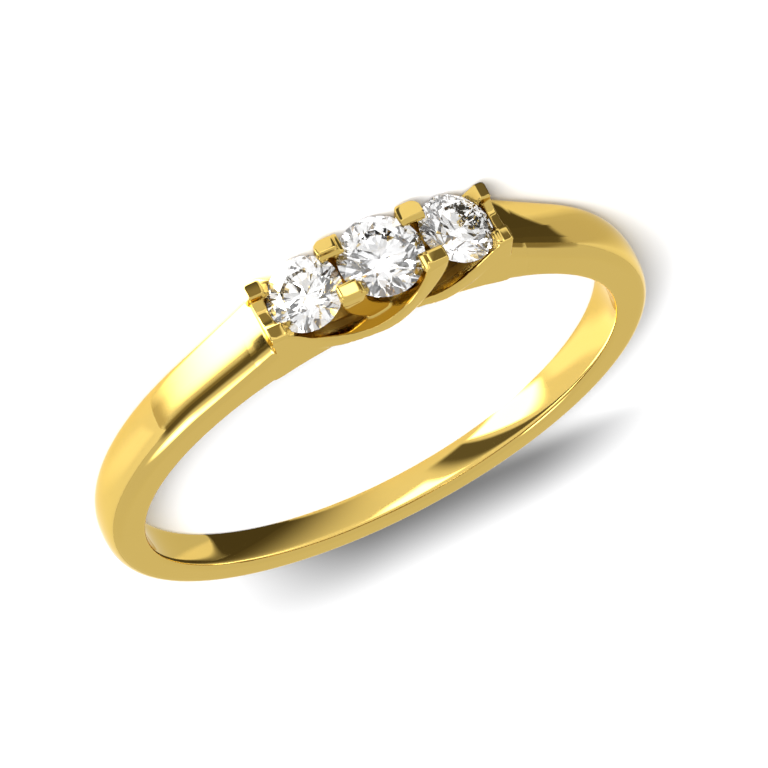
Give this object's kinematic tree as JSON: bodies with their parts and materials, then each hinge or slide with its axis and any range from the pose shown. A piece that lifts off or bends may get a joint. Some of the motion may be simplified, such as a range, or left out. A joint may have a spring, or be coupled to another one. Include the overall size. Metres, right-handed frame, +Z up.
{
  "type": "gold ring",
  "caption": "Polished yellow gold finger ring with a domed band that narrows to the back, and a row of round brilliant-cut stones held by interlaced prong arms.",
  "frame": {"origin": "on the surface that the ring lies on, under the middle of its bounding box", "axes": "+Z up and nearly along the finger axis, -Y towards the head that holds the stones, X along the row of stones"},
  "size_m": [0.0198, 0.0214, 0.003],
  "materials": {
    "polished_gold": "mirror-polished yellow gold, left as cast in the hollow under the stones",
    "diamond": "clear, faceted and highly polished"
  },
  "bodies": {
    "root": {"gold_mount": "polished_gold", "center_diamond": "diamond", "left_diamond": "diamond", "right_diamond": "diamond"}
  },
  "joints": []
}
